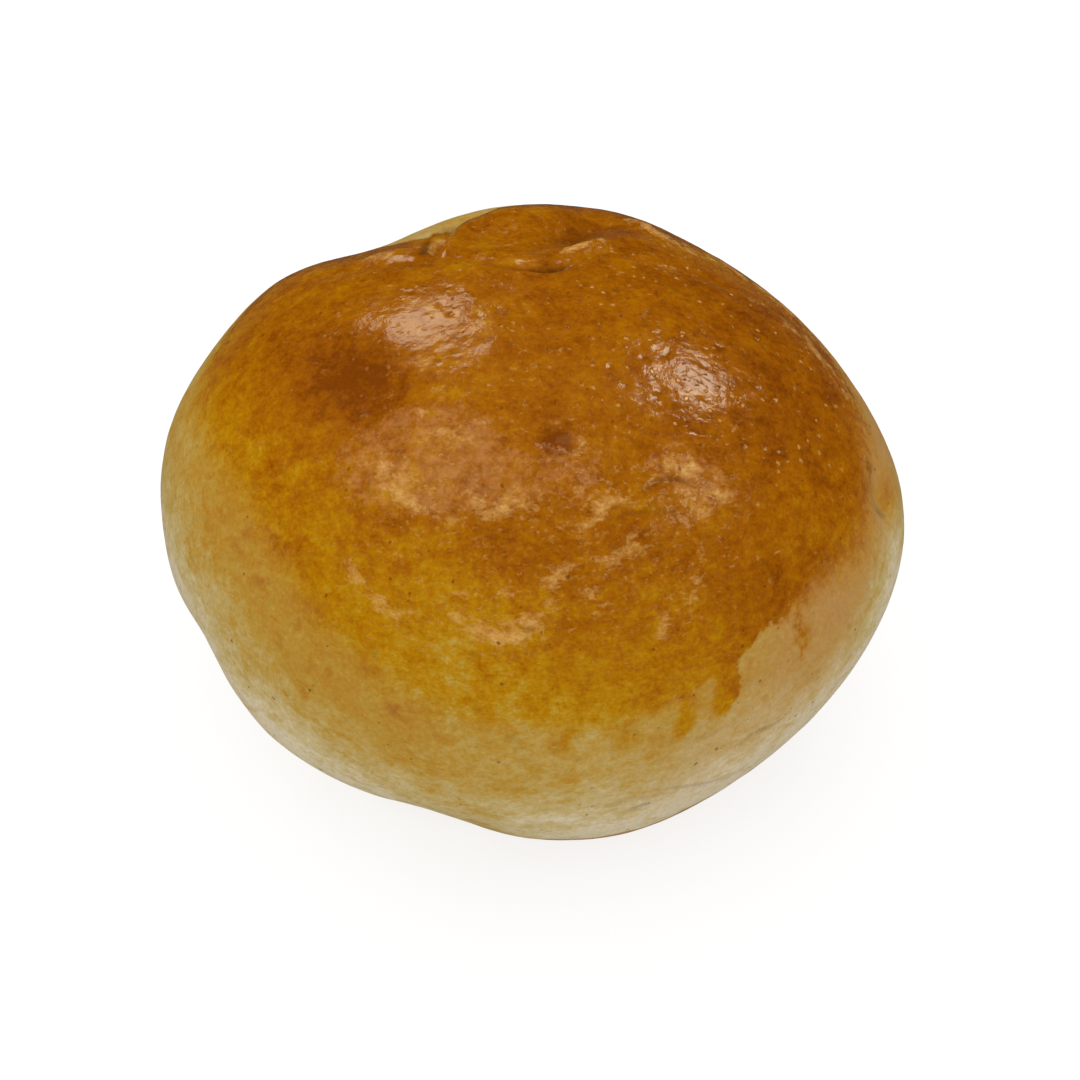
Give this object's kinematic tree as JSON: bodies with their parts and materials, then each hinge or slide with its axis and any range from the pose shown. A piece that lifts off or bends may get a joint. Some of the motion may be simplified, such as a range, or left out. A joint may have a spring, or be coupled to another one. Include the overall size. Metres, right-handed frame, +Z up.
{
  "type": "brioche bun",
  "caption": "Whole glazed brioche bun: a plump round of enriched dough with a shiny browned crown, pinched folds and a flat pale-sided base.",
  "frame": {"origin": "middle of the bun's footprint, at the level of its flat base", "axes": "+Z up through the crown, -Y towards the side that faces the viewer, +X to the viewer's right"},
  "size_m": [0.0986, 0.095, 0.057],
  "materials": {
    "crust": "gloss egg-washed crust on the crown, matt cream dough on the sides"
  },
  "bodies": {
    "root": {"bun": "crust"}
  },
  "joints": []
}
